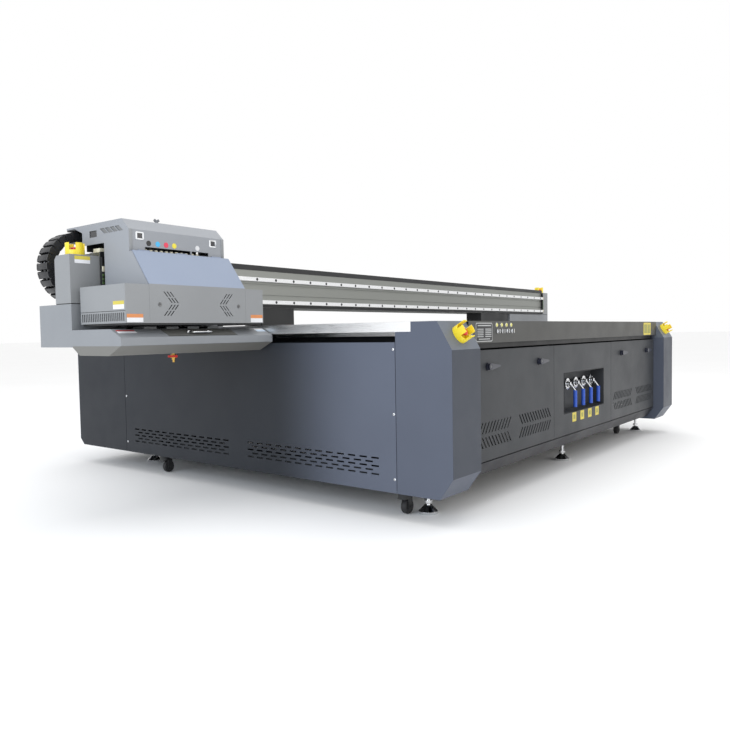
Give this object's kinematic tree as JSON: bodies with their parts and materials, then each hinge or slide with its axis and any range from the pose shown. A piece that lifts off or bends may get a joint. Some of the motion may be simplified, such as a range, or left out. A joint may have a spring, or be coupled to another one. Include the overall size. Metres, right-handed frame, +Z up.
{
  "type": "flatbed uv printer",
  "caption": "Large flatbed printer for rigid sheets: a gantry with a parked print carriage over a vacuum table on a closed base with service doors, feet and casters.",
  "frame": {"origin": "on the floor under the centre of the machine's box", "axes": "+X along the long side, from the carriage's parked end to the far end; +Y from the operator's front to the back; +Z up"},
  "size_m": [5.414, 3.121, 1.4591],
  "materials": {
    "frame_steel": "satin powder coat",
    "rail_steel": "ground bearing rail",
    "table_aluminium": "brushed edge, milled top",
    "blower_aluminium": "cast, satin",
    "cover_paint": "fine textured powder coat, dark slate grey",
    "fascia_paint": "fine textured powder coat, dark grey",
    "cabinet_paint": "satin",
    "chrome": "polished plating",
    "yellow_plastic": "moulded",
    "red_plastic": "moulded",
    "blue_plastic": "dipped grip",
    "beam_aluminium": "anodised",
    "gantry_paint": "fine textured powder coat, light warm grey",
    "station_steel": "folded stainless",
    "drive_black": "black",
    "chain_plastic": "moulded nylon",
    "lamp_housing": "anodised, finned",
    "ink_bottle": "moulded",
    "head_metal": "anodised black",
    "latch_black": "moulded",
    "caster_black": "moulded nylon",
    "wheel_rubber": "solid tread"
  },
  "bodies": {
    "base": {"welded_frame": "frame_steel", "y_rails": "rail_steel", "vacuum_table": "table_aluminium", "vacuum_blower": "blower_aluminium", "side_panels": "cover_paint", "front_surround": "cover_paint", "front_fascia": "fascia_paint", "valve_panel": "cover_paint", "rear_panel": "cover_paint", "valve_bodies": "chrome", "estop_guards": "yellow_plastic", "electronics_box": "cabinet_paint", "levelling_feet": "chrome"},
    "gantry": {"gantry_beam": "beam_aluminium", "x_rails": "rail_steel", "end_consoles": "gantry_paint", "end_posts": "gantry_paint", "gantry_arms": "frame_steel", "cap_station": "station_steel", "x_drive": "drive_black", "chain_trough": "drive_black", "post_guards": "yellow_plastic", "chain_lower_run": "chain_plastic"},
    "saddle": {"saddle": "frame_steel", "chain_upper_run": "chain_plastic"},
    "chain_bend": {"chain_bend": "chain_plastic"},
    "carriage": {"lower_shell": "gantry_paint", "upper_shell": "gantry_paint", "uv_lamps": "lamp_housing", "ink_tanks": "ink_bottle", "print_heads": "head_metal"},
    "hood": {"hood_cover": "gantry_paint"},
    "drawer": {"wiper_drawer": "gantry_paint"},
    "drain": {"drain_lever": "red_plastic"},
    "door_left": {"front_door_left": "cover_paint"},
    "door_right": {"front_door_right": "cover_paint"},
    "latch_1": {"door_latch_1": "latch_black"},
    "latch_2": {"door_latch_2": "latch_black"},
    "latch_3": {"door_latch_3": "latch_black"},
    "latch_4": {"door_latch_4": "latch_black"},
    "lever_1": {"valve_lever_1": "blue_plastic"},
    "lever_2": {"valve_lever_2": "blue_plastic"},
    "lever_3": {"valve_lever_3": "blue_plastic"},
    "lever_4": {"valve_lever_4": "blue_plastic"},
    "knob_1": {"selector_knob_1": "chrome"},
    "knob_2": {"selector_knob_2": "chrome"},
    "knob_3": {"selector_knob_3": "chrome"},
    "knob_4": {"selector_knob_4": "chrome"},
    "stop_1": {"estop_button_1": "red_plastic"},
    "stop_2": {"estop_button_2": "red_plastic"},
    "stop_3": {"estop_button_3": "red_plastic"},
    "stop_4": {"estop_button_4": "red_plastic"},
    "fork_1": {"caster_fork_1": "caster_black"},
    "wheel_1": {"caster_wheel_1": "wheel_rubber"},
    "fork_2": {"caster_fork_2": "caster_black"},
    "wheel_2": {"caster_wheel_2": "wheel_rubber"},
    "fork_3": {"caster_fork_3": "caster_black"},
    "wheel_3": {"caster_wheel_3": "wheel_rubber"},
    "fork_4": {"caster_fork_4": "caster_black"},
    "wheel_4": {"caster_wheel_4": "wheel_rubber"}
  },
  "joints": [
    {"name": "gantry_travel", "type": "slide", "parent": "base", "child": "gantry", "axis": [0, 1, 0], "range_m": [-0.95, 1.05]},
    {"name": "carriage_travel", "type": "slide", "parent": "gantry", "child": "saddle", "axis": [1, 0, 0], "range_m": [0, 4.5]},
    {"name": "carriage_lift", "type": "slide", "parent": "saddle", "child": "carriage", "axis": [0, 0, 1], "range_m": [0, 0.08]},
    {"name": "chain_roll", "type": "slide", "parent": "saddle", "child": "chain_bend", "axis": [1, 0, 0], "range_m": [-2.26, 0], "deforming": ["chain_upper_run", "chain_lower_run"]},
    {"name": "hood_hinge", "type": "hinge", "parent": "carriage", "child": "hood", "pos_m": [-2.274, -0.291, 1.277], "axis": [-1, 0, 0], "range_deg": [0, 70]},
    {"name": "drawer_slide", "type": "slide", "parent": "gantry", "child": "drawer", "axis": [0, -1, 0], "range_m": [0, 0.07]},
    {"name": "drain_turn", "type": "hinge", "parent": "gantry", "child": "drain", "pos_m": [-2.308, -0.2685, 0.782], "axis": [0, -1, 0], "range_deg": [0, 90]},
    {"name": "door_left_hinge", "type": "hinge", "parent": "base", "child": "door_left", "pos_m": [-1.022, -1.436, 0.244], "axis": [1, 0, 0], "range_deg": [0, 90]},
    {"name": "door_right_hinge", "type": "hinge", "parent": "base", "child": "door_right", "pos_m": [1.022, -1.436, 0.244], "axis": [1, 0, 0], "range_deg": [0, 90]},
    {"name": "latch_1_turn", "type": "hinge", "parent": "door_left", "child": "latch_1", "pos_m": [-1.326, -1.445, 0.702], "axis": [0, 1, 0], "range_deg": [0, 90]},
    {"name": "latch_2_turn", "type": "hinge", "parent": "door_left", "child": "latch_2", "pos_m": [-0.718, -1.445, 0.702], "axis": [0, 1, 0], "range_deg": [0, 90]},
    {"name": "latch_3_turn", "type": "hinge", "parent": "door_right", "child": "latch_3", "pos_m": [0.718, -1.445, 0.702], "axis": [0, 1, 0], "range_deg": [0, 90]},
    {"name": "latch_4_turn", "type": "hinge", "parent": "door_right", "child": "latch_4", "pos_m": [1.326, -1.445, 0.702], "axis": [0, 1, 0], "range_deg": [0, 90]},
    {"name": "valve_1_turn", "type": "hinge", "parent": "base", "child": "lever_1", "pos_m": [-0.1735, -1.408, 0.535], "axis": [0, 1, 0], "range_deg": [0, 50]},
    {"name": "valve_2_turn", "type": "hinge", "parent": "base", "child": "lever_2", "pos_m": [-0.0365, -1.408, 0.535], "axis": [0, 1, 0], "range_deg": [0, 50]},
    {"name": "valve_3_turn", "type": "hinge", "parent": "base", "child": "lever_3", "pos_m": [0.1005, -1.408, 0.535], "axis": [0, 1, 0], "range_deg": [0, 50]},
    {"name": "valve_4_turn", "type": "hinge", "parent": "base", "child": "lever_4", "pos_m": [0.2375, -1.408, 0.535], "axis": [0, 1, 0], "range_deg": [0, 50]},
    {"name": "knob_1_turn", "type": "hinge", "parent": "base", "child": "knob_1", "pos_m": [-1.265, -1.465, 0.877], "axis": [0, -1, 0], "range_deg": [-45, 45]},
    {"name": "knob_2_turn", "type": "hinge", "parent": "base", "child": "knob_2", "pos_m": [-1.212, -1.465, 0.877], "axis": [0, -1, 0], "range_deg": [-45, 45]},
    {"name": "knob_3_turn", "type": "hinge", "parent": "base", "child": "knob_3", "pos_m": [-1.159, -1.465, 0.877], "axis": [0, -1, 0], "range_deg": [-45, 45]},
    {"name": "knob_4_turn", "type": "hinge", "parent": "base", "child": "knob_4", "pos_m": [-1.106, -1.465, 0.877], "axis": [0, -1, 0], "range_deg": [-45, 45]},
    {"name": "stop_1_press", "type": "slide", "parent": "base", "child": "stop_1", "axis": [0, 0.8604, -0.5096], "range_m": [0, 0.006], "stiffness_N_per_m": 1200, "springref_m": -0.003},
    {"name": "stop_2_press", "type": "slide", "parent": "base", "child": "stop_2", "axis": [0, 0.8604, -0.5096], "range_m": [0, 0.006], "stiffness_N_per_m": 1200, "springref_m": -0.003},
    {"name": "stop_3_press", "type": "slide", "parent": "gantry", "child": "stop_3", "axis": [0, 0, -1], "range_m": [0, 0.006], "stiffness_N_per_m": 1200, "springref_m": -0.003},
    {"name": "stop_4_press", "type": "slide", "parent": "gantry", "child": "stop_4", "axis": [0, 0, -1], "range_m": [0, 0.006], "stiffness_N_per_m": 1200, "springref_m": -0.003},
    {"name": "caster_1_swivel", "type": "hinge", "parent": "base", "child": "fork_1", "pos_m": [-1.7, -1.19, 0.1], "axis": [0, 0, 1], "continuous": true},
    {"name": "wheel_1_roll", "type": "hinge", "parent": "fork_1", "child": "wheel_1", "pos_m": [-1.674, -1.19, 0.039], "axis": [0, 1, 0], "continuous": true},
    {"name": "caster_2_swivel", "type": "hinge", "parent": "base", "child": "fork_2", "pos_m": [1.378, -1.19, 0.1], "axis": [0, 0, 1], "continuous": true},
    {"name": "wheel_2_roll", "type": "hinge", "parent": "fork_2", "child": "wheel_2", "pos_m": [1.404, -1.19, 0.039], "axis": [0, 1, 0], "continuous": true},
    {"name": "caster_3_swivel", "type": "hinge", "parent": "base", "child": "fork_3", "pos_m": [-1.715, 0.671, 0.1], "axis": [0, 0, 1], "continuous": true},
    {"name": "wheel_3_roll", "type": "hinge", "parent": "fork_3", "child": "wheel_3", "pos_m": [-1.689, 0.671, 0.039], "axis": [0, 1, 0], "continuous": true},
    {"name": "caster_4_swivel", "type": "hinge", "parent": "base", "child": "fork_4", "pos_m": [1.7, 0.671, 0.1], "axis": [0, 0, 1], "continuous": true},
    {"name": "wheel_4_roll", "type": "hinge", "parent": "fork_4", "child": "wheel_4", "pos_m": [1.726, 0.671, 0.039], "axis": [0, 1, 0], "continuous": true}
  ],
  "couplings": [
    {"joint": "chain_roll", "follows": "carriage_travel", "ratio": -0.5}
  ]
}
